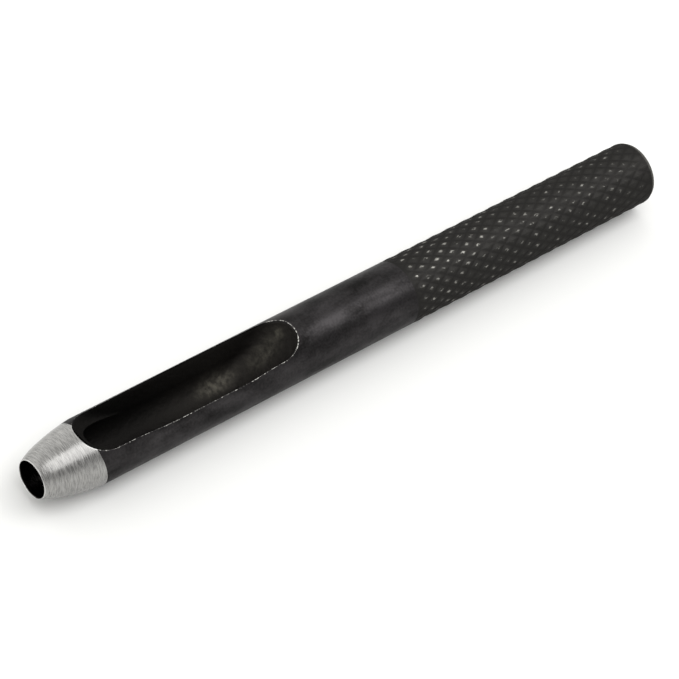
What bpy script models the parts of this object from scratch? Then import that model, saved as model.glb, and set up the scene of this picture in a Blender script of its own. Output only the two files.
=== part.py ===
"""Drive hole punch: one turned, drilled, windowed and knurled steel bar.

The punch lies on its side with its axis along +X, from the cutting mouth to the striking
end, and its slug window faces +Z. The origin is on the surface that it lies on, under the
middle of its length. One bar is modelled as four zones that meet on flat planes.
"""
import math

import bmesh
import bpy

MM = 0.001

# driving dimensions, in millimetres
LENGTH = 127.0            # cutting edge to striking face
BAR_DIA = 11.0            # round stock that the punch is turned from
KNURL_DIA = 11.1          # over the crests of the rolled knurl
HOLE_DIA = 6.0            # size of hole that the punch cuts
LIP_WIDTH = 0.1           # flat left on the cutting edge
BEVEL_LENGTH = 1.1        # short steep bevel behind the cutting edge
BEVEL_ANGLE = 30.0        # of that bevel to the axis, in degrees
NOSE_LENGTH = 9.9         # ground ogive, cutting edge to full bar diameter
OGIVE_RADIUS = 38.0       # of the arc between bevel and bar
RELIEF_DIA = 6.6          # bore behind the cutting edge, so that slugs pass freely
RELIEF_START = 4.0        # where the tapered mouth reaches the relief bore
WINDOW_START = 7.3        # front tip of the window's rim
WINDOW_END = 48.9         # rear tip of the window's rim
WINDOW_WIDTH = 7.9        # across the rim near the ends
WINDOW_SWELL = 0.6        # extra width across the middle of the window
TROUGH_RADIUS = 3.4       # round floor of the trough under the window
SHANK_START = 50.0        # behind the window
GRIP_START = 72.0         # knurling begins
HEAD_CHAMFER_LENGTH = 0.7
HEAD_CHAMFER_DEPTH = 0.35

# derived sizes
BAR_RADIUS = BAR_DIA / 2
KNURL_RADIUS = KNURL_DIA / 2
AXIS_HEIGHT = KNURL_RADIUS
FLARE_TOP = BAR_RADIUS * 0.64          # height above the axis where the trough's side is widest
TROUGH_TOP = BAR_RADIUS + 1.5          # cutter stands this far above the axis
TROUGH_FLOOR = -0.995 * TROUGH_RADIUS  # lowest ring of the cutter

# mesh fineness
SIDES = 64
OGIVE_STEPS = 8
END_STEPS = 7
FLANK_STEPS = 12
DEPTH_STEPS = 12
END_ROUND_LENGTH = 3.9
END_ROUND_POWER = 2.5


def clear_scene():
    for item in list(bpy.data.objects):
        bpy.data.objects.remove(item, do_unlink=True)


def steel(name, colour, roughness):
    material = bpy.data.materials.new(name)
    material.use_nodes = True
    shader = material.node_tree.nodes["Principled BSDF"]
    shader.inputs["Base Color"].default_value = (*colour, 1.0)
    shader.inputs["Roughness"].default_value = roughness
    shader.inputs["Metallic"].default_value = 1.0
    return material


def finish_mesh(name, bm):
    """Weld, face outward, shade smooth between sharp corners and add to the scene."""
    bmesh.ops.remove_doubles(bm, verts=bm.verts, dist=1e-7)
    bmesh.ops.recalc_face_normals(bm, faces=bm.faces)
    mesh = bpy.data.meshes.new(name)
    bm.to_mesh(mesh)
    bm.free()
    mesh.shade_smooth()
    mesh.set_sharp_from_angle(angle=math.radians(30))
    body = bpy.data.objects.new(name, mesh)
    bpy.context.scene.collection.objects.link(body)
    return body


def turned(name, profile, closed):
    """Spin a profile of (distance along the axis, radius) once round the X axis."""
    bm = bmesh.new()
    corners = [bm.verts.new((x * MM, 0.0, r * MM)) for x, r in profile]
    edges = [bm.edges.new(pair) for pair in zip(corners, corners[1:])]
    if closed:
        edges.append(bm.edges.new((corners[-1], corners[0])))
    bmesh.ops.spin(bm, geom=corners + edges, cent=(0, 0, 0), axis=(1, 0, 0),
                   dvec=(0, 0, 0), angle=math.tau, steps=SIDES, use_duplicate=False)
    return finish_mesh(name, bm)


def nose_outline():
    """Outer profile of the nose: lip, short bevel, then one arc out to the bar's radius."""
    lip = HOLE_DIA / 2 + LIP_WIDTH
    x0 = BEVEL_LENGTH
    r0 = lip + BEVEL_LENGTH * math.tan(math.radians(BEVEL_ANGLE))
    dx = NOSE_LENGTH - x0
    dr = BAR_RADIUS - r0
    chord = math.hypot(dx, dr)
    drop = math.sqrt(OGIVE_RADIUS ** 2 - (chord / 2) ** 2)
    centre_x = x0 + dx / 2 + drop * dr / chord
    centre_r = r0 + dr / 2 - drop * dx / chord
    start = math.atan2(r0 - centre_r, x0 - centre_x)
    end = math.atan2(BAR_RADIUS - centre_r, NOSE_LENGTH - centre_x)
    outline = [(0.0, lip)]
    for step in range(OGIVE_STEPS + 1):
        angle = start + (end - start) * step / OGIVE_STEPS
        outline.append((centre_x + OGIVE_RADIUS * math.cos(angle),
                        centre_r + OGIVE_RADIUS * math.sin(angle)))
    return outline


def smooth_step(value, low, high):
    t = min(max((value - low) / (high - low), 0.0), 1.0)
    return t * t * (3 - 2 * t)


def trough_front(z):
    """Front end of the trough at a height above the axis: steep at the rim, then a ramp."""
    depth = BAR_RADIUS - max(z, 0.0)
    return WINDOW_START + 0.5 * depth + 0.2 * depth * abs(depth)


def trough_rear(z):
    """Rear end of the trough: a dished ramp from the rim down to the floor."""
    depth = BAR_RADIUS - z
    return WINDOW_END - 0.275 * depth - 0.089 * depth * abs(depth)


def trough_half_width(x, z):
    if z < 0:
        return math.sqrt(TROUGH_RADIUS ** 2 - z ** 2)
    rise = min(z / FLARE_TOP, 1.0)
    middle = smooth_step(x, 14.0, 24.0) - smooth_step(x, 36.0, 45.0)
    widest = WINDOW_WIDTH / 2 + WINDOW_SWELL / 2 * middle
    return TROUGH_RADIUS + (widest - TROUGH_RADIUS) * rise


def end_round(distance):
    """Fraction of the full width at a distance from the tip of one rounded end."""
    t = min(max(distance / END_ROUND_LENGTH, 0.0), 1.0)
    return (1 - (1 - t) ** END_ROUND_POWER) ** (1 / END_ROUND_POWER)


def trough_ring(z):
    """Closed outline of the trough at one height, as points (x, y)."""
    front = trough_front(z)
    rear = trough_rear(z)
    stations = []
    for step in range(END_STEPS):
        stations.append(front + END_ROUND_LENGTH * (1 - math.cos(math.pi / 2 * step / END_STEPS)))
    flank_start = front + END_ROUND_LENGTH
    flank_end = rear - END_ROUND_LENGTH
    for step in range(FLANK_STEPS + 1):
        stations.append(flank_start + (flank_end - flank_start) * step / FLANK_STEPS)
    for step in reversed(range(END_STEPS)):
        stations.append(rear - END_ROUND_LENGTH * (1 - math.cos(math.pi / 2 * step / END_STEPS)))
    side = []
    for x in stations:
        half = trough_half_width(x, z) * end_round(x - front) * end_round(rear - x)
        side.append((x, half))
    return side + [(x, -y) for x, y in reversed(side[1:-1])]


def trough_cutter():
    """Solid that fills the slug trough, lofted from rings at falling heights."""
    bm = bmesh.new()
    rings = []
    for step in range(DEPTH_STEPS + 1):
        share = math.sin(math.pi / 2 * step / DEPTH_STEPS)
        z = TROUGH_TOP + (TROUGH_FLOOR - TROUGH_TOP) * share
        rings.append([bm.verts.new((x * MM, y * MM, z * MM)) for x, y in trough_ring(z)])
    count = len(rings[0])
    for upper, lower in zip(rings, rings[1:]):
        for i in range(count):
            j = (i + 1) % count
            bm.faces.new((upper[i], upper[j], lower[j], lower[i]))
    bm.faces.new(rings[0])
    bm.faces.new(rings[-1])
    return finish_mesh("trough_cutter", bm)


def bore_cutter():
    """Solid that fills the relief bore, from inside the nose to inside the trough."""
    radius = RELIEF_DIA / 2
    end = trough_front(0.0) + 1.8 * END_ROUND_LENGTH
    profile = [(NOSE_LENGTH - 2, 0.0), (NOSE_LENGTH - 2, radius), (end, radius), (end, 0.0)]
    return turned("bore_cutter", profile, closed=False)


def cut(body, cutter):
    cutter.hide_render = True
    cutter.display_type = "WIRE"
    boolean = body.modifiers.new("cut_" + cutter.name, "BOOLEAN")
    boolean.operation = "DIFFERENCE"
    boolean.solver = "EXACT"
    boolean.object = cutter


def weld(body):
    """Merge the coincident corners that the cuts leave along the rim."""
    modifier = body.modifiers.new("weld_cuts", "WELD")
    modifier.merge_threshold = 0.002 * MM


def place(body, material, frame):
    if material:
        body.data.materials.append(material)
    body.parent = frame


def build():
    clear_scene()
    bright = steel("ground steel", (0.60, 0.60, 0.59), 0.32)
    black = steel("blackened steel", (0.030, 0.029, 0.028), 0.38)

    frame = bpy.data.objects.new("punch_axis", None)
    frame.location = (-LENGTH / 2 * MM, 0.0, AXIS_HEIGHT * MM)
    bpy.context.scene.collection.objects.link(frame)

    trough = trough_cutter()
    bore = bore_cutter()

    relief = RELIEF_DIA / 2
    bore_wall = [(NOSE_LENGTH, relief), (RELIEF_START, relief), (0.0, HOLE_DIA / 2)]
    nose = turned("cutting_nose", nose_outline() + bore_wall, closed=True)
    cut(nose, trough)
    weld(nose)

    window = turned("window_section", [(NOSE_LENGTH, 0.0), (NOSE_LENGTH, BAR_RADIUS),
                                       (SHANK_START, BAR_RADIUS), (SHANK_START, 0.0)], closed=False)
    cut(window, bore)
    cut(window, trough)
    weld(window)

    shank = turned("plain_shank", [(SHANK_START, 0.0), (SHANK_START, BAR_RADIUS),
                                   (GRIP_START, BAR_RADIUS), (GRIP_START, 0.0)], closed=False)

    grip = turned("knurled_grip", [(GRIP_START, 0.0), (GRIP_START, KNURL_RADIUS),
                                   (LENGTH - HEAD_CHAMFER_LENGTH, KNURL_RADIUS),
                                   (LENGTH, KNURL_RADIUS - HEAD_CHAMFER_DEPTH),
                                   (LENGTH, 0.0)], closed=False)

    place(nose, bright, frame)
    for body in (window, shank, grip):
        place(body, black, frame)
    for cutter in (trough, bore):
        place(cutter, None, frame)


build()
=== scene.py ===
"""Looks of the drive hole punch: one steel bar, ground bright at the nose, black elsewhere.

The punch lies on its side with its slug window up. Lengths are in metres.
"""
import math

import bmesh
import bpy
from mathutils import Matrix, Vector, kdtree, noise


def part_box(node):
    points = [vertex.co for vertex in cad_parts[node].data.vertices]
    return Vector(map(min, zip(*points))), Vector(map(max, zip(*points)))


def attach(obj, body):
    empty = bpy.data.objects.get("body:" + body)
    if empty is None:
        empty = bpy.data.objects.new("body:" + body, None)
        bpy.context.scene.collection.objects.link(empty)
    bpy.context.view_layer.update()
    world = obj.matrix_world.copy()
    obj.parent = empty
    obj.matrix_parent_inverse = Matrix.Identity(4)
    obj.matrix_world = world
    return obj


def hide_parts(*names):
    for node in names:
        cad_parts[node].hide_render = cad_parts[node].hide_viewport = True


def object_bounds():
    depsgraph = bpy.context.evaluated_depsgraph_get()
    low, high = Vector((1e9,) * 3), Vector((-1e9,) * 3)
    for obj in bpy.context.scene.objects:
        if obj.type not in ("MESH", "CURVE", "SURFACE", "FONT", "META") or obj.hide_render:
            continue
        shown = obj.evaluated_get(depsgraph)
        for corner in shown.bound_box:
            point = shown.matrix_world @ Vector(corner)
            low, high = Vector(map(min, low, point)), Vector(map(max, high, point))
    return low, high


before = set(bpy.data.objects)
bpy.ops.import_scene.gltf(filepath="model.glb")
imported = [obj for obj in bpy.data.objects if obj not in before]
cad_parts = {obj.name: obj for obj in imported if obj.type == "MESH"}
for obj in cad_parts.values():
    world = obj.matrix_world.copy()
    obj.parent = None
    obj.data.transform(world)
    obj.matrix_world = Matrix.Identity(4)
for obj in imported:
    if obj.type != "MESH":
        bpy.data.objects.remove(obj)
cad_low, cad_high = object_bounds()

# ---------------------------------------------------------------- blackened bar
# The body of the punch: round tool steel, turned, milled open along one side so that the
# punched slugs fall out, hardened, and blackened in hot oxide. It runs from the border of
# the ground nose to the knurl. Its mesh starts as the whole bar ahead of the knurl.

mm = 0.001
mouth_x = cad_low.x
axis_z = (cad_low.z + cad_high.z) / 2
shank_low, shank_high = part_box("plain_shank")
bar_radius = (shank_high.y - shank_low.y) / 2
grip_start = shank_high.x - mouth_x

hole_radius = 3.0 * mm
lip_width = 0.1 * mm
bevel_length = 1.1 * mm
bevel_angle = math.radians(30)
nose_length = 9.9 * mm
ogive_radius = 38.0 * mm
ease_start = 0.15 * mm
ease_end = 2.6 * mm


def sharp_profile(x):
    """Outer radius at a distance behind the cutting edge, with a corner behind the bevel."""
    bevel_end = hole_radius + lip_width + bevel_length * math.tan(bevel_angle)
    if x <= bevel_length:
        return bevel_end - (bevel_length - x) * math.tan(bevel_angle)
    if x >= nose_length:
        return bar_radius
    run = nose_length - bevel_length
    rise = bar_radius - bevel_end
    chord = math.hypot(run, rise)
    drop = math.sqrt(ogive_radius ** 2 - chord ** 2 / 4)
    centre_x = bevel_length + run / 2 + drop * rise / chord
    centre_r = bevel_end + rise / 2 - drop * run / chord
    return centre_r + math.sqrt(ogive_radius ** 2 - (x - centre_x) ** 2)


def turned_radius(x):
    """Outer radius of the bar. The grinding has eased the corner between bevel and ogive."""
    if not ease_start < x < ease_end:
        return sharp_profile(x)
    run = ease_end - ease_start
    t = (x - ease_start) / run
    low, high = sharp_profile(ease_start), sharp_profile(ease_end)
    slope_low = math.tan(bevel_angle)
    slope_high = (sharp_profile(ease_end + 1e-6) - high) / 1e-6
    return ((1 + 2 * t) * (1 - t) ** 2 * low + t * (1 - t) ** 2 * run * slope_low
            + t * t * (3 - 2 * t) * high - t * t * (1 - t) * run * slope_high)


# The window is a trough with round ends. Its front end is a ramp, its rear end dishes up to
# the surface, and the two thin flanks stand a little wider apart along its middle.
window_start = 7.3 * mm
window_end = 48.9 * mm
window_half = 3.95 * mm
window_swell = 0.3 * mm
trough_radius = 3.4 * mm
end_length = 3.9 * mm
end_power = 2.5
flare_height = 0.64 * bar_radius    # above the axis, where the trough's side is widest
swell_starts, swell_full = 14 * mm, 24 * mm
swell_fades, swell_ends = 36 * mm, 45 * mm


def smooth_step(value, low, high):
    """From 0 at low to 1 at high, easing in and out. Outside them it stays 0 or 1."""
    t = min(max((value - low) / (high - low), 0.0), 1.0)
    return t * t * (3 - 2 * t)


def trough_front(z):
    """Front end of the trough at height z above the axis: steep at the rim, then a ramp."""
    depth = (bar_radius - max(z, 0.0)) / mm
    return window_start + (0.5 * depth + 0.2 * depth * abs(depth)) * mm


def trough_rear(z):
    """Rear end of the trough at height z: a dished ramp from the rim down to the floor."""
    depth = (bar_radius - z) / mm
    return window_end - (0.275 * depth + 0.089 * depth * abs(depth)) * mm


def trough_half(x, z):
    """Half the trough's width at height z, before its ends are rounded."""
    if z < 0:
        return math.sqrt(max(trough_radius ** 2 - z ** 2, 0.0))
    rise = min(z / flare_height, 1.0)
    middle = smooth_step(x, swell_starts, swell_full) - smooth_step(x, swell_fades, swell_ends)
    widest = window_half + window_swell * middle
    return trough_radius + (widest - trough_radius) * rise


def end_round(distance):
    """Share of the full width at a distance from the tip of one rounded end."""
    t = min(max(distance / end_length, 0.0), 1.0)
    return (1 - (1 - t) ** end_power) ** (1 / end_power)


# Mesh lines along one side of the trough: round each end, and along the flank between.
end_count = 48
flank_count = 80
half_count = 2 * end_count + flank_count


def trough_point(index, z):
    """Point of the trough's wall at height z; index runs from its front tip to its rear tip."""
    front, rear = trough_front(z), trough_rear(z)
    if index <= end_count:
        x = front + end_length * (1 - math.cos(math.pi / 2 * index / end_count))
    elif index >= end_count + flank_count:
        left = half_count - index
        x = rear - end_length * (1 - math.cos(math.pi / 2 * left / end_count))
    else:
        share = (index - end_count) / flank_count
        x = front + end_length + (rear - front - 2 * end_length) * share
    return Vector((x, trough_half(x, z) * end_round(x - front) * end_round(rear - x), z))


def rim_point(index):
    """Where the trough's wall comes out through the bar's surface."""
    low, high = 0.0, bar_radius
    for _ in range(40):
        point = trough_point(index, (low + high) / 2)
        if math.hypot(point.y, point.z) < turned_radius(point.x):
            low = point.z
        else:
            high = point.z
    return point


def on_bar(x, angle):
    """Point on the bar's outside. The angle is measured from the middle of the window."""
    r = turned_radius(x)
    return Vector((x, r * math.sin(angle), r * math.cos(angle)))


rim_break = 0.12 * mm               # width of the worn corner between wall and outside
patch_start = 5.0 * mm
patch_end = 52.0 * mm
patch_rows = 26
patch_crowding = 1.35               # over 1, the rows stand closer together near the rim
wall_rows = 44
floor_z = -0.998 * trough_radius


def patch_edge(index):
    """Far edge of the surface patch round the window: distance along the bar, and angle."""
    if index <= end_count:
        return patch_start, math.pi * index / end_count
    if index >= end_count + flank_count:
        return patch_end, math.pi * (half_count - index) / end_count
    share = (index - end_count) / flank_count
    return patch_start + (patch_end - patch_start) * share, math.pi


def window_column(index):
    """Points in one line from the trough's floor up its wall, over the rim and round the bar."""
    rim = rim_point(index)
    rise = rim.z - rim_break - floor_z
    line = []
    for row in range(wall_rows + 1):
        z = floor_z + rise * (1 - math.cos(math.pi * row / wall_rows)) / 2
        line.append(trough_point(index, z))
    rim_angle = math.atan2(rim.y, rim.z)
    far_x, far_angle = patch_edge(index)
    reach = math.hypot(far_x - rim.x, (far_angle - rim_angle) * bar_radius)
    outer = []
    for row in range(patch_rows + 1):
        share = rim_break / reach + (1 - rim_break / reach) * (row / patch_rows) ** patch_crowding
        outer.append(on_bar(rim.x + (far_x - rim.x) * share,
                            rim_angle + (far_angle - rim_angle) * share))
    for step in (0.2, 0.4, 0.6, 0.8):
        line.append(line[wall_rows].lerp(rim, step).lerp(rim.lerp(outer[0], step), step))
    return line + outer


# The milling cutter left the trough's floor slightly uneven, and its rear end more so. The
# unevenness fades out below the rim. The seed is set because the noise otherwise starts from
# the clock and differs each time.
floor_seed = 3
floor_bump_size = 1.3 * mm
floor_bump_height = 0.03 * mm
rear_bump_height = 0.05 * mm
rear_bumps_start, rear_bumps_full = 38 * mm, 44 * mm
calm_rows = 14

# Rings of the mesh from the patch round the window to the cutting edge, closer where the
# bevel turns, in mm.
nose_rings = (4.4, 3.8, 3.2, 2.7, 2.3, 1.9, 1.6, 1.3, 1.0, 0.75, 0.5, 0.3, 0.15, 0.04, 0.0)
shank_rings = 14


def bar_ahead_of_grip():
    """The bar from its cutting edge to the knurl, with its window but not yet bored."""
    bar = bmesh.new()
    lines = []
    for side, indices in ((1, range(half_count + 1)), (-1, range(half_count - 1, 0, -1))):
        for index in indices:
            lines.append([bar.verts.new((p.x, side * p.y, p.z)) for p in window_column(index)])
    count = len(lines)
    for c, line in enumerate(lines):
        other = lines[(c + 1) % count]
        for r in range(len(line) - 1):
            bar.faces.new((line[r], other[r], other[r + 1], line[r + 1]))
    for c in range(half_count):
        corners = (lines[c][0], lines[c + 1][0], lines[-c - 1][0], lines[-c % count][0])
        bar.faces.new(list(dict.fromkeys(corners)))

    noise.seed_set(floor_seed)
    for line in lines:
        for r, vert in enumerate(line[:wall_rows + 1]):
            fade = smooth_step(wall_rows - r, 0, calm_rows)
            rear = smooth_step(vert.co.x, rear_bumps_start, rear_bumps_full)
            coarse = floor_bump_height + rear_bump_height * rear
            bumps = noise.noise_vector(vert.co / floor_bump_size)
            vert.co += fade * coarse * bumps

    def join(one, two):
        for j in range(len(one)):
            k = (j + 1) % len(one)
            bar.faces.new((one[j], one[k], two[k], two[j]))

    def ring(x):
        return [bar.verts.new(on_bar(x, math.pi * j / end_count)) for j in range(2 * end_count)]

    last = [lines[j][-1] for j in range(end_count + 1)]
    last += [lines[-j][-1] for j in range(end_count - 1, 0, -1)]
    for x in nose_rings:
        following = ring(x * mm)
        join(last, following)
        last = following
    bar.faces.new(last)
    last = [lines[half_count - j][-1] for j in range(end_count + 1)]
    last += [lines[(half_count + j) % count][-1] for j in range(end_count - 1, 0, -1)]
    for step in range(1, shank_rings + 1):
        following = ring(patch_end + (grip_start - patch_end) * step / shank_rings)
        join(last, following)
        last = following
    bar.faces.new(last)
    bmesh.ops.remove_doubles(bar, verts=bar.verts, dist=1e-7)
    bmesh.ops.recalc_face_normals(bar, faces=bar.faces)
    return bar


# The hole widens backwards, so that slugs pass freely, and its mouth is honed a little open:
# distance behind the cutting edge and radius, in mm. It starts ahead of the edge, to cut clean
# through, and ends in the trough.
bore_profile = ((-1.0, 3.06), (0.0, 3.06), (0.15, 3.01), (0.4, 3.03), (4.0, 3.3), (23.1, 3.3))
bore_sides = 128


def bore_solid():
    """The drilled hole as a solid."""
    bore = bmesh.new()
    rings = []
    for x, r in bore_profile:
        line = []
        for j in range(bore_sides):
            angle = math.tau * (j + 0.5) / bore_sides
            line.append(bore.verts.new((x * mm, r * mm * math.sin(angle),
                                        r * mm * math.cos(angle))))
        rings.append(line)
    for one, two in zip(rings, rings[1:]):
        for j in range(bore_sides):
            k = (j + 1) % bore_sides
            bore.faces.new((one[j], one[k], two[k], two[j]))
    bore.faces.new(rings[0])
    bore.faces.new(rings[-1])
    bmesh.ops.recalc_face_normals(bore, faces=bore.faces)
    return bore


def placed(shape, name):
    """Object of a mesh made in bar measures, put where the bar lies."""
    data = bpy.data.meshes.new(name)
    shape.to_mesh(data)
    shape.free()
    made = bpy.data.objects.new(name, data)
    made.location = (mouth_x, 0.0, axis_z)
    bpy.context.scene.collection.objects.link(made)
    return made


flap_passes = 4


def drilled():
    """The bar ahead of the grip with its hole drilled, as a mesh."""
    bar = placed(bar_ahead_of_grip(), "undrilled_bar")
    bore = placed(bore_solid(), "bore_solid")
    drill = bar.modifiers.new("drill", "BOOLEAN")
    drill.operation, drill.solver, drill.object = "DIFFERENCE", "EXACT", bore
    bpy.context.view_layer.update()
    graph = bpy.context.evaluated_depsgraph_get()
    shape = bmesh.new()
    shape.from_mesh(bar.evaluated_get(graph).to_mesh())
    for spent in (bar, bore):
        data = spent.data
        bpy.data.objects.remove(spent)
        bpy.data.meshes.remove(data)
    bmesh.ops.dissolve_degenerate(shape, edges=shape.edges, dist=1e-6)
    # Splitting the odd-shaped faces along the cut can leave small flaps, which are taken off
    # again. Taking one off can bare the next, so the few passes that this needs are made.
    bmesh.ops.triangulate(shape, faces=[face for face in shape.faces if len(face.verts) > 4])
    for _ in range(flap_passes):
        flaps = [face for face in shape.faces if any(edge.is_boundary for edge in face.edges)]
        bmesh.ops.delete(shape, geom=flaps, context="FACES")
    return shape


# The grinding stops on a plane that leans, so the border is a slanted curve. The setbacks are
# how far, in mm, it moves toward the mouth on the way from the axis out to the surface, which is
# 5.5 mm away, on the window's left side and on top.
border_x = 9.09 * mm
side_setback = 0.68
top_setback = 0.637
border_lean = Vector((1.0, side_setback / 5.5, top_setback / 5.5)).normalized()


def part_of(shape, behind):
    """The half of a closed mesh behind or ahead of the grinding border, closed at the cut."""
    half = shape.copy()
    geometry = half.verts[:] + half.edges[:] + half.faces[:]
    cut = bmesh.ops.bisect_plane(half, geom=geometry, dist=1e-7,
                                 plane_co=(border_x, 0.0, 0.0), plane_no=border_lean,
                                 clear_inner=behind, clear_outer=not behind)
    edges = [part for part in cut["geom_cut"] if isinstance(part, bmesh.types.BMEdge)]
    bmesh.ops.triangle_fill(half, edges=edges, use_beauty=True)
    bmesh.ops.recalc_face_normals(half, faces=half.faces)
    return half


# Points close together along both sides of the rim, to find how near it a place is.
rim_steps = 8
rim_line = kdtree.KDTree(2 * (half_count * rim_steps + 1))
for step in range(half_count * rim_steps + 1):
    on_rim = rim_point(step / rim_steps)
    for side in (1, -1):
        rim_line.insert((on_rim.x, side * on_rim.y, on_rim.z), 2 * step + (side > 0))
rim_line.balance()


# Along the rim the black is painted off to bright steel, partly where it is rubbed and partly as
# painted highlight on its edge: place along the bar in mm, half length in mm, and how strong.
rim_rub_and_highlight_spots = ((17.0, 1.0, 0.4), (22.0, 0.9, 1.0), (25.2, 0.9, 1.0), (29.2, 0.8, 0.45),
            (34.0, 1.2, 0.5), (38.8, 2.4, 0.9), (42.4, 1.2, 1.0), (44.2, 1.2, 0.8))
# Painted highlight: a faint bright line all round the rim, brighter on the near (-y) side and
# round the rear end.
least_rim_highlight = 0.25                    # all round the rim
near_side_rim_highlight = 0.60                     # between the spots, along the near (-y) side: painted highlight
far_end_rim_highlight = 0.72                      # round the rear end
rim_mark_core, rim_mark_reach = 0.02 * mm, 0.17 * mm


def rim_bareness_and_highlight(point):
    """How bright the window's rim is painted, from 0 to 1, along its length: rubbed steel and
    painted highlight.
    """
    far_end = far_end_rim_highlight * smooth_step(point.x, 46.0 * mm, 47.6 * mm)
    spots = max(rim_bare_and_highlight * (1 - smooth_step(abs(point.x / mm - middle), 0, half))
                for middle, half, rim_bare_and_highlight in rim_rub_and_highlight_spots)
    near_side = smooth_step(-point.y, 0.0, 2 * mm)
    return max(far_end, near_side * (near_side_rim_highlight + (1 - near_side_rim_highlight) * spots), least_rim_highlight)


# Painted light: patches of the trough painted lighter where light falls, most where its rear end
# rises: place along the bar and across it, half length and half width, all in mm, and how strong.
floor_light_patches = ((13.5, -1.4, 4.0, 2.2, 0.35), (36.8, 1.8, 5.8, 2.0, 1.0),
                (45.2, 1.0, 4.6, 2.6, 0.6), (47.6, 1.3, 0.9, 1.6, 1.0))


def mark_wear_light_and_depth(piece):
    """Stores on each vertex its rim wear and painted highlight, the painted light on the trough's
    floor, and its depth under the skin.
    """
    rim = piece.data.attributes.new("rim_rub_and_highlight", "FLOAT", "POINT")
    light_patch = piece.data.attributes.new("floor_light_patch", "FLOAT", "POINT")
    under = piece.data.attributes.new("depth_under_skin", "FLOAT", "POINT")
    for n, vert in enumerate(piece.data.vertices):
        spot, _, distance = rim_line.find(vert.co)
        rim.data[n].value = rim_bareness_and_highlight(spot) * (1 - smooth_step(distance, rim_mark_core, rim_mark_reach))
        depth = turned_radius(vert.co.x) - math.hypot(vert.co.y, vert.co.z)
        under.data[n].value = max(depth / mm, 0.0)
        light_patch.data[n].value = max(
            amount * (1 - smooth_step(math.hypot((vert.co.x / mm - x) / half_length,
                                                 (vert.co.y / mm - y) / half_width), 0, 1))
            for x, y, half_length, half_width, amount in floor_light_patches)


def linear(hex_colour):
    """sRGB hex to the linear colour, with alpha, that a shader socket takes."""
    parts = [int(hex_colour[n:n + 2], 16) / 255 for n in (1, 3, 5)]
    return tuple(c / 12.92 if c <= 0.04045 else ((c + 0.055) / 1.055) ** 2.4
                 for c in parts) + (1.0,)


def add(tree, kind, settings, links=()):
    """Adds a node. Settings are its properties or sockets, and links its linked sockets."""
    made = tree.nodes.new(kind)
    for key, value in settings.items():
        if isinstance(key, int) or key in made.inputs:
            made.inputs[key].default_value = value
        else:
            setattr(made, key, value)
    for key, source in dict(links).items():
        tree.links.new(source, made.inputs[key])
    return made


def smooth_finish(piece, material, crease):
    """Gives a piece its one material and soft shading that breaks at real edges."""
    piece.data.materials.append(material)
    piece.data.shade_smooth()
    piece.data.set_sharp_from_angle(angle=math.radians(crease))


drilled_bar = drilled()
bar_piece = placed(part_of(drilled_bar, behind=True), "blackened_bar")
mark_wear_light_and_depth(bar_piece)

# Black oxide over turned steel: a thin magnetite skin, oiled. It gives the eye a near-black
# metal with a soft sheen, slightly cloudy. Its rim is painted bright, partly rubbed steel and
# partly painted highlight, and its trough's floor carries painted light patches.
black_oxide = bpy.data.materials.new("black_oxide_turned_steel")
black_oxide.use_nodes = True
tree = black_oxide.node_tree
steel = tree.nodes["Principled BSDF"]
steel.inputs["Metallic"].default_value = 1.0
steel.inputs["Specular Tint"].default_value = (0.66, 0.66, 0.66, 1.0)
place = add(tree, "ShaderNodeTexCoord", {}).outputs["Object"]
# Cloudiness of the oxide, patches of about 3 mm drawn out along the bar.
drawn = add(tree, "ShaderNodeMapping", {"Scale": (0.45, 1.0, 1.0)}, {"Vector": place})
cloud = add(tree, "ShaderNodeTexNoise", {"Scale": 1 / (3.0 * mm), "Detail": 3.0},
            {"Vector": drawn.outputs[0]}).outputs[0]
# Grain of the etched skin, truly a few hundredths of a millimetre, drawn at 0.35 mm to show.
grain = add(tree, "ShaderNodeTexNoise", {"Scale": 1 / (0.35 * mm), "Detail": 2.0},
            {"Vector": place}).outputs[0]
tone = add(tree, "ShaderNodeMath", {"operation": "MULTIPLY_ADD", 1: 0.35},
           {0: grain, 2: cloud}).outputs[0]
skin = add(tree, "ShaderNodeMapRange", {"From Min": 0.48, "From Max": 0.86}, {"Value": tone})
oxide = add(tree, "ShaderNodeMix",
            {"data_type": "RGBA", 6: linear("#1B1A1A"), 7: linear("#3B393A")},
            {0: skin.outputs[0]}).outputs[2]
gloss = add(tree, "ShaderNodeMapRange",
            {"From Min": 0.48, "From Max": 0.86, "To Min": 0.45, "To Max": 0.31},
            {"Value": tone}).outputs[0]
# Inside the trough the skin is the rougher one left by the milling cutter.
under = add(tree, "ShaderNodeAttribute", {"attribute_name": "depth_under_skin"}).outputs["Fac"]
milled = add(tree, "ShaderNodeMapRange", {"From Min": 0.1, "From Max": 0.5},
             {"Value": under}).outputs[0]
milled_gloss = add(tree, "ShaderNodeMix", {"data_type": "FLOAT", 3: 0.66},
                   {0: milled, 2: gloss}).outputs[0]
# The skin there is darker toward the nose and lighter from 20 to 37 mm back.
along = add(tree, "ShaderNodeSeparateXYZ", {}, {0: place}).outputs[0]
rearward_lighter = add(tree, "ShaderNodeMapRange",
              {"interpolation_type": "SMOOTHSTEP", "From Min": 20 * mm, "From Max": 37 * mm},
              {"Value": along}).outputs[0]
milled_skin = add(tree, "ShaderNodeMix",
                  {"data_type": "RGBA", 6: linear("#1F1E1D"), 7: linear("#2E2C2A")},
                  {0: rearward_lighter}).outputs[2]
lumps = add(tree, "ShaderNodeTexNoise",
            {"Scale": 1 / (0.8 * mm), "Detail": 4.0, "Roughness": 0.6},
            {"Vector": place}).outputs[0]
high_lumps = add(tree, "ShaderNodeMapRange",
                 {"From Min": 0.38, "From Max": 0.66, "To Min": 0.22},
                 {"Value": lumps}).outputs[0]
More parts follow.
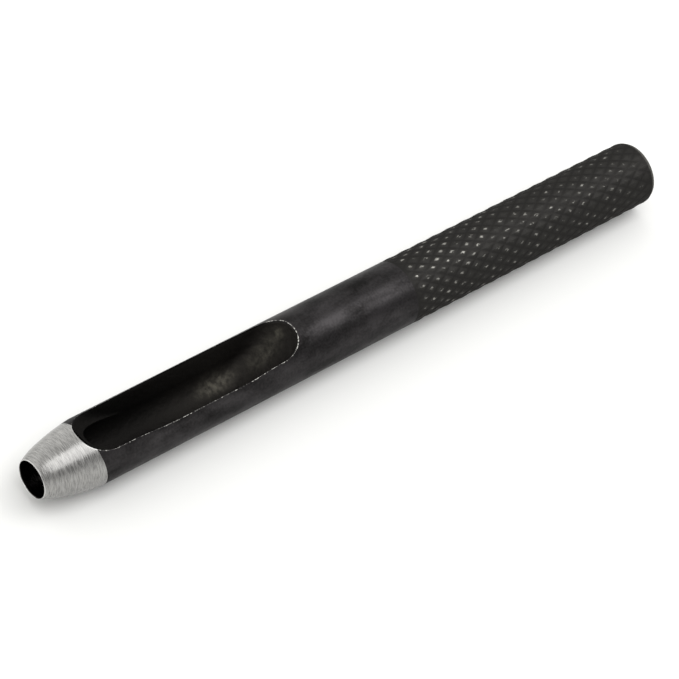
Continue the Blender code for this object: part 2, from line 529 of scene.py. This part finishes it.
# Painted light: the patches on the trough's floor are mixed toward a light olive grey.
light_patch = add(tree, "ShaderNodeAttribute", {"attribute_name": "floor_light_patch"}).outputs["Fac"]
light_patches = add(tree, "ShaderNodeMath", {"operation": "MULTIPLY"},
              {0: light_patch, 1: high_lumps}).outputs[0]
milled_skin = add(tree, "ShaderNodeMix", {"data_type": "RGBA", 7: linear("#625F57")},
                  {0: light_patches, 6: milled_skin}).outputs[2]
oxide = add(tree, "ShaderNodeMix", {"data_type": "RGBA"},
            {0: milled, 6: oxide, 7: milled_skin}).outputs[2]
# Bright rim in beads about 0.3 mm long: partly rubbed steel, partly painted highlight.
rim = add(tree, "ShaderNodeAttribute", {"attribute_name": "rim_rub_and_highlight"}).outputs["Fac"]
beads = add(tree, "ShaderNodeTexNoise", {"Scale": 1 / (0.3 * mm), "Detail": 1.0},
            {"Vector": place}).outputs[0]
bead_level = add(tree, "ShaderNodeMath", {"operation": "MULTIPLY_ADD", 1: 1.8},
                 {0: beads, 2: rim}).outputs[0]
rim_bare_and_highlight = add(tree, "ShaderNodeMapRange",
           {"interpolation_type": "SMOOTHSTEP", "From Min": 1.25, "From Max": 1.85},
           {"Value": bead_level}).outputs[0]
near_rim = add(tree, "ShaderNodeMapRange", {"From Max": 0.2}, {"Value": rim}).outputs[0]
rim_bare_and_highlight = add(tree, "ShaderNodeMath", {"operation": "MULTIPLY"}, {0: rim_bare_and_highlight, 1: near_rim}).outputs[0]
# Painted highlight, partly rubbed steel: the rim is mixed toward a light steel grey.
surface = add(tree, "ShaderNodeMix", {"data_type": "RGBA", 7: linear("#C8C6C1")},
              {0: rim_bare_and_highlight, 6: oxide}).outputs[2]
tree.links.new(surface, steel.inputs["Base Color"])
tree.links.new(milled_gloss, steel.inputs["Roughness"])
uneven = add(tree, "ShaderNodeMath", {"operation": "MULTIPLY"}, {0: lumps, 1: milled}).outputs[0]
relief = add(tree, "ShaderNodeBump", {"Strength": 1.0, "Distance": 0.16 * mm},
             {"Height": uneven}).outputs[0]
relief = add(tree, "ShaderNodeBump", {"Strength": 0.3, "Distance": 0.02 * mm},
             {"Height": grain, "Normal": relief}).outputs[0]
tree.links.new(relief, steel.inputs["Normal"])

smooth_finish(bar_piece, black_oxide, crease=34)
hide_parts("window_section", "plain_shank")
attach(bar_piece, "root")

# ---------------------------------------------------------------- ground nose
# The front 9 mm of the same bar, ground round on a wheel after blackening, down to a sharp
# lip about a tenth of a millimetre wide. The bore and the window's ramp inside stay black.

nose_piece = placed(part_of(drilled_bar, behind=False), "ground_nose")
drilled_bar.free()
mark_wear_light_and_depth(nose_piece)

# Bright steel off a medium wheel: grinding lines run round the nose, and they smear the
# light along it and feather the edges of each highlight.
ground_steel = bpy.data.materials.new("ground_tool_steel")
ground_steel.use_nodes = True
tree = ground_steel.node_tree
steel = tree.nodes["Principled BSDF"]
steel.inputs["Metallic"].default_value = 1.0
place = add(tree, "ShaderNodeTexCoord", {}).outputs["Object"]
# Scratches of an 80 grit wheel are near 0.1 mm apart, drawn at 0.15 mm so that they show.
lines = add(tree, "ShaderNodeMapping", {"Scale": (1.0, 0.12, 0.12)}, {"Vector": place})
scratch = add(tree, "ShaderNodeTexNoise",
              {"Scale": 1 / (0.15 * mm), "Detail": 3.0, "Roughness": 0.55},
              {"Vector": lines.outputs[0]}).outputs[0]
tint = add(tree, "ShaderNodeMapRange",
           {"From Min": 0.3, "From Max": 0.7}, {"Value": scratch}).outputs[0]
bright = add(tree, "ShaderNodeMix",
             {"data_type": "RGBA", 6: linear("#7B7A79"), 7: linear("#A9A8A6")},
             {0: tint}).outputs[2]
under = add(tree, "ShaderNodeAttribute", {"attribute_name": "depth_under_skin"}).outputs["Fac"]
inside = add(tree, "ShaderNodeMapRange", {"From Min": 0.06, "From Max": 0.12},
             {"Value": under}).outputs[0]
along = add(tree, "ShaderNodeSeparateXYZ", {}, {0: place}).outputs[0]
# Painted highlight: the cutting lip, partly honed, and the window's edges, partly burr, are
# painted near white.
lip_honed_and_highlight = add(tree, "ShaderNodeMapRange", {"From Min": 0.14 * mm, "From Max": 0.03 * mm},
            {"Value": along}).outputs[0]
rim = add(tree, "ShaderNodeAttribute", {"attribute_name": "rim_rub_and_highlight"}).outputs["Fac"]
edge_burr_and_highlight = add(tree, "ShaderNodeMath", {"operation": "MULTIPLY_ADD", 1: 2.0},
           {0: rim, 2: lip_honed_and_highlight}).outputs[0]
bright = add(tree, "ShaderNodeMix", {"data_type": "RGBA", 7: linear("#D0CFCD")},
             {0: edge_burr_and_highlight, 6: bright}).outputs[2]
surface = add(tree, "ShaderNodeMix", {"data_type": "RGBA", 7: linear("#2C2A29")},
              {0: inside, 6: bright}).outputs[2]
tree.links.new(surface, steel.inputs["Base Color"])
gloss = add(tree, "ShaderNodeMapRange",
            {"From Min": 0.3, "From Max": 0.7, "To Min": 0.18, "To Max": 0.36},
            {"Value": scratch}).outputs[0]
tree.links.new(gloss, steel.inputs["Roughness"])
relief = add(tree, "ShaderNodeBump", {"Strength": 0.9, "Distance": 0.03 * mm},
             {"Height": scratch}).outputs[0]
tree.links.new(relief, steel.inputs["Normal"])

smooth_finish(nose_piece, ground_steel, crease=20)
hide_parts("cutting_nose")
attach(nose_piece, "root")

# ---------------------------------------------------------------- knurled grip
# The rear 55 mm of the same bar, rolled with a diamond knurl for the fingers, chamfered and
# faced flat at the end that the hammer strikes, then blackened with the rest.

knurl_radius = (cad_high.z - cad_low.z) / 2
length = cad_high.x - cad_low.x
grooves = 18                        # of each hand, round the bar
pitches = 16.5                      # along the grip, so each groove leans 30 degrees
cells = 10                          # mesh steps per groove
groove_depth = 0.14 * mm
# Height across a groove, from its round bottom to the flat crest, in tenths of its pitch.
groove_shape = (0.0, 0.25, 0.52, 0.76, 0.93, 1.0)
chamfer_length = 0.7 * mm
chamfer_depth = 0.35 * mm
run_in = 1.3 * mm                   # the roller bites in over this length
fade_start, fade_end = 3.5 * mm, 1.0 * mm   # from the struck end, where it lifts again
lift = 0.45
dent_depth = 0.04 * mm              # most that a crest falls short
dent_size = 1.1 * mm
dent_radius = 5 * mm                # of the round that the dents are laid out on
# The struck end is faced in a lathe. Its rings are near 0.1 mm apart, drawn at 0.25 mm.
facing_rings = 20
facing_step = 0.25 * mm
facing_depth = 0.015 * mm


def knurled_grip():
    """The grip: a lattice of diamonds with a vertex line down every groove and crest."""
    grip = bmesh.new()
    rows = round(pitches * 2 * cells)
    around = grooves * cells
    crest = grip.verts.layers.float.new("crest")
    lattice = []
    for r in range(rows + 1):
        x = grip_start + (length - grip_start) * r / rows
        rolled = smooth_step(x, grip_start, grip_start + run_in)
        rolled *= 1 - lift * smooth_step(x, length - fade_start, length - fade_end)
        outer = bar_radius + (knurl_radius - bar_radius) * rolled
        line = []
        for k in range(around):
            # Steps along the two hands of groove; both are whole numbers at every vertex.
            one = (r + 2 * k + r % 2) // 2
            two = (2 * k + r % 2 - r) // 2
            height = min(groove_shape[min(s % cells, -s % cells)] for s in (one, two))
            angle = math.tau * (k + 0.5 * (r % 2)) / around
            middle = Vector((x, math.sin(angle) * dent_radius, math.cos(angle) * dent_radius))
            uneven = dent_depth * noise.noise(middle / dent_size)
            radius = outer - rolled * (groove_depth * (1 - height) + abs(uneven) * height)
            past = x - (length - chamfer_length)
            if past > -1e-9:
                radius = min(radius, knurl_radius - chamfer_depth * past / chamfer_length)
            vert = grip.verts.new((x, radius * math.sin(angle), radius * math.cos(angle)))
            vert[crest] = height * rolled
            line.append(vert)
        lattice.append(line)
    for r in range(rows - 1):
        for k in range(around):
            side = k if r % 2 else k - 1
            low, high = lattice[r][k], lattice[r + 2][k]
            left = lattice[r + 1][side % around]
            right = lattice[r + 1][(side + 1) % around]
            grip.faces.new((low, left, high, right))
            if r == 0:
                grip.faces.new((low, right, lattice[0][(k + 1) % around]))
            if r == rows - 2:
                grip.faces.new((high, lattice[rows][(k + 1) % around], right))
    grip.faces.new(lattice[0])

    last = lattice[rows]
    end_radius = knurl_radius - chamfer_depth
    for ring in range(1, facing_rings + 1):
        radius = end_radius - facing_step * ring
        x = length - facing_depth * (ring % 2)
        following = []
        for k in range(around):
            angle = math.tau * (k + 0.5 * (rows % 2)) / around
            following.append(grip.verts.new((x, radius * math.sin(angle),
                                             radius * math.cos(angle))))
        for k in range(around):
            j = (k + 1) % around
            grip.faces.new((last[k], last[j], following[j], following[k]))
        last = following
    grip.faces.new(last)
    bmesh.ops.recalc_face_normals(grip, faces=grip.faces)
    return grip


grip_piece = placed(knurled_grip(), "rolled_grip")

# The same black oxide over rolled crests: the flat top of each diamond is burnished by the
# roller and by handling, some carry painted glints, and the grooves are painted darker as shade.
knurled_oxide = bpy.data.materials.new("black_oxide_rolled_knurl")
knurled_oxide.use_nodes = True
tree = knurled_oxide.node_tree
steel = tree.nodes["Principled BSDF"]
steel.inputs["Metallic"].default_value = 1.0
steel.inputs["Specular Tint"].default_value = (0.50, 0.50, 0.50, 1.0)
place = add(tree, "ShaderNodeTexCoord", {}).outputs["Object"]
grain = add(tree, "ShaderNodeTexNoise", {"Scale": 1 / (0.32 * mm), "Detail": 2.0},
            {"Vector": place}).outputs[0]
crest = add(tree, "ShaderNodeAttribute", {"attribute_name": "crest"}).outputs["Fac"]
# Burnished crests with painted glints come in clumps of two or three diamonds, most of them where
# the grip begins.
clumps = add(tree, "ShaderNodeTexNoise", {"Scale": 1 / (1.5 * mm), "Detail": 1.0},
             {"Vector": place}).outputs[0]
along = add(tree, "ShaderNodeSeparateXYZ", {}, {0: place}).outputs[0]
glints_toward_start = add(tree, "ShaderNodeMapRange",
              {"From Min": 76 * mm, "From Max": 108 * mm, "To Min": 0.21, "To Max": 0.0},
              {"Value": along}).outputs[0]
chance = add(tree, "ShaderNodeMath", {"operation": "ADD"}, {0: clumps, 1: glints_toward_start}).outputs[0]
chosen = add(tree, "ShaderNodeMapRange", {"From Min": 0.50, "From Max": 0.66},
             {"Value": chance}).outputs[0]
tops = add(tree, "ShaderNodeMapRange", {"From Min": 0.76, "From Max": 1.0},
           {"Value": crest}).outputs[0]
worn_and_glint = add(tree, "ShaderNodeMath", {"operation": "MULTIPLY"}, {0: tops, 1: chosen}).outputs[0]
# Each burnished spot, with its painted glint, is torn in two or three by the skin left standing
# in its dents.
streaks = add(tree, "ShaderNodeMapping", {"Scale": (0.45, 1.0, 1.0)}, {"Vector": place})
torn = add(tree, "ShaderNodeTexNoise", {"Scale": 1 / (0.33 * mm), "Detail": 1.0},
           {"Vector": streaks.outputs[0]}).outputs[0]
chipped = add(tree, "ShaderNodeMapRange", {"From Min": 0.46, "From Max": 0.56},
              {"Value": torn}).outputs[0]
worn_and_glint = add(tree, "ShaderNodeMath", {"operation": "MULTIPLY"}, {0: worn_and_glint, 1: chipped}).outputs[0]
# Painted shade: the grooves are painted darker than the crests, with the grain.
crest_lighter_groove_shade = add(tree, "ShaderNodeMath", {"operation": "MULTIPLY"}, {0: grain, 1: crest}).outputs[0]
# The edge of the struck end is painted brighter: partly rubbed, partly painted highlight.
end_edge_rub_and_highlight = add(tree, "ShaderNodeMapRange",
               {"From Min": length - 0.8 * mm, "From Max": length - 0.4 * mm, "To Max": 0.6},
               {"Value": along}).outputs[0]
end_edge_rub_and_highlight = add(tree, "ShaderNodeMath", {"operation": "MULTIPLY"},
               {0: end_edge_rub_and_highlight, 1: torn}).outputs[0]
worn_and_glint = add(tree, "ShaderNodeMath", {"operation": "MAXIMUM"}, {0: worn_and_glint, 1: end_edge_rub_and_highlight}).outputs[0]
skin = add(tree, "ShaderNodeMix",
           {"data_type": "RGBA", 6: linear("#2E2D2C"), 7: linear("#403F3D")},
           {0: crest_lighter_groove_shade}).outputs[2]
# Painted glint, partly burnished steel: the chosen crests are mixed toward a bright steel grey.
surface = add(tree, "ShaderNodeMix", {"data_type": "RGBA", 7: linear("#999792")},
              {0: worn_and_glint, 6: skin}).outputs[2]
tree.links.new(surface, steel.inputs["Base Color"])
gloss = add(tree, "ShaderNodeMapRange", {"To Min": 0.55, "To Max": 0.34},
            {"Value": worn_and_glint}).outputs[0]
tree.links.new(gloss, steel.inputs["Roughness"])
relief = add(tree, "ShaderNodeBump", {"Strength": 0.3, "Distance": 0.02 * mm},
             {"Height": grain}).outputs[0]
tree.links.new(relief, steel.inputs["Normal"])

smooth_finish(grip_piece, knurled_oxide, crease=50)
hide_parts("knurled_grip")
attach(grip_piece, "root")

# ---------------------------------------------------------------- floor
# A sheet of matt white card that the punch lies on.

floor_mesh = bmesh.new()
floor_side = 3.0
bmesh.ops.create_grid(floor_mesh, x_segments=1, y_segments=1, size=floor_side)
floor_data = bpy.data.meshes.new("floor")
floor_mesh.to_mesh(floor_data)
floor_mesh.free()
floor = bpy.data.objects.new("floor", floor_data)
floor.location.z = cad_low.z
bpy.context.scene.collection.objects.link(floor)

white_card = bpy.data.materials.new("matt_white_card")
white_card.use_nodes = True
card = white_card.node_tree.nodes["Principled BSDF"]
card.inputs["Base Color"].default_value = linear("#EEEEED")
card.inputs["Roughness"].default_value = 0.9
card.inputs["Specular IOR Level"].default_value = 0.2
floor.data.materials.append(white_card)

# ---------------------------------------------------------------- light
# One long softbox overhead draws the streak along the bar. The white room does the rest. It
# is dimmer above the table on the side that the punch is seen from, and brightest across it.

softbox = bpy.data.lights.new("softbox", "AREA")
softbox.shape = "RECTANGLE"
softbox.size, softbox.size_y = 2.4, 0.92
softbox.energy = 12.0
softbox_stand = bpy.data.objects.new("softbox", softbox)
softbox_stand.location = (0.75, -0.40, 1.0)
bpy.context.scene.collection.objects.link(softbox_stand)

room = bpy.data.worlds.new("white_room")
room.use_nodes = True
tree = room.node_tree
toward = add(tree, "ShaderNodeTexCoord", {}).outputs["Generated"]
sides = add(tree, "ShaderNodeSeparateXYZ", {}, {0: toward}).outputs
above_table = add(tree, "ShaderNodeMapRange",
                  {"interpolation_type": "SMOOTHSTEP", "From Min": 0.20, "From Max": 0.40},
                  {"Value": sides[2]}).outputs[0]
on_near_side = add(tree, "ShaderNodeMapRange",
                   {"interpolation_type": "SMOOTHSTEP", "From Min": -0.15, "From Max": -0.55},
                   {"Value": sides[1]}).outputs[0]
shade = add(tree, "ShaderNodeMath", {"operation": "MULTIPLY"},
            {0: above_table, 1: on_near_side}).outputs[0]
light = add(tree, "ShaderNodeMix",
            {"data_type": "RGBA", 6: linear("#F6F6F4"), 7: linear("#B8B8B7")},
            {0: shade}).outputs[2]
tree.links.new(light, tree.nodes["Background"].inputs["Color"])
far_wall = add(tree, "ShaderNodeMapRange", {"From Min": 0.3, "To Min": 1.05, "To Max": 1.55},
               {"Value": sides[1]}).outputs[0]
tree.links.new(far_wall, tree.nodes["Background"].inputs["Strength"])
bpy.context.scene.world = room
bpy.context.scene.view_settings.view_transform = "Standard"

# ---------------------------------------------------------------- camera
# It looks down at the punch from ahead of its nose, tipped so that the bar climbs.

elevation = math.radians(47.06)
heading = math.radians(36.77)
tip = math.radians(17.08)
distance = 432.1 * mm
aim = (cad_low + cad_high) / 2 + Vector((-4.91, -2.14, -1.19)) * mm
forward = Vector((math.cos(elevation) * math.cos(heading),
                  math.cos(elevation) * math.sin(heading), -math.sin(elevation)))
level = forward.cross(Vector((0, 0, 1))).normalized()
upright = level.cross(forward)
right = level * math.cos(tip) + upright * math.sin(tip)
lens = bpy.data.cameras.new("camera")
lens.lens = 145.93
lens.sensor_width = 36.0
lens.clip_start, lens.clip_end = 0.01, 20.0
camera = bpy.data.objects.new("camera", lens)
turn = Matrix((right, right.cross(forward), -forward)).transposed()
camera.matrix_world = Matrix.Translation(aim - forward * distance) @ turn.to_4x4()
bpy.context.scene.collection.objects.link(camera)
bpy.context.scene.camera = camera
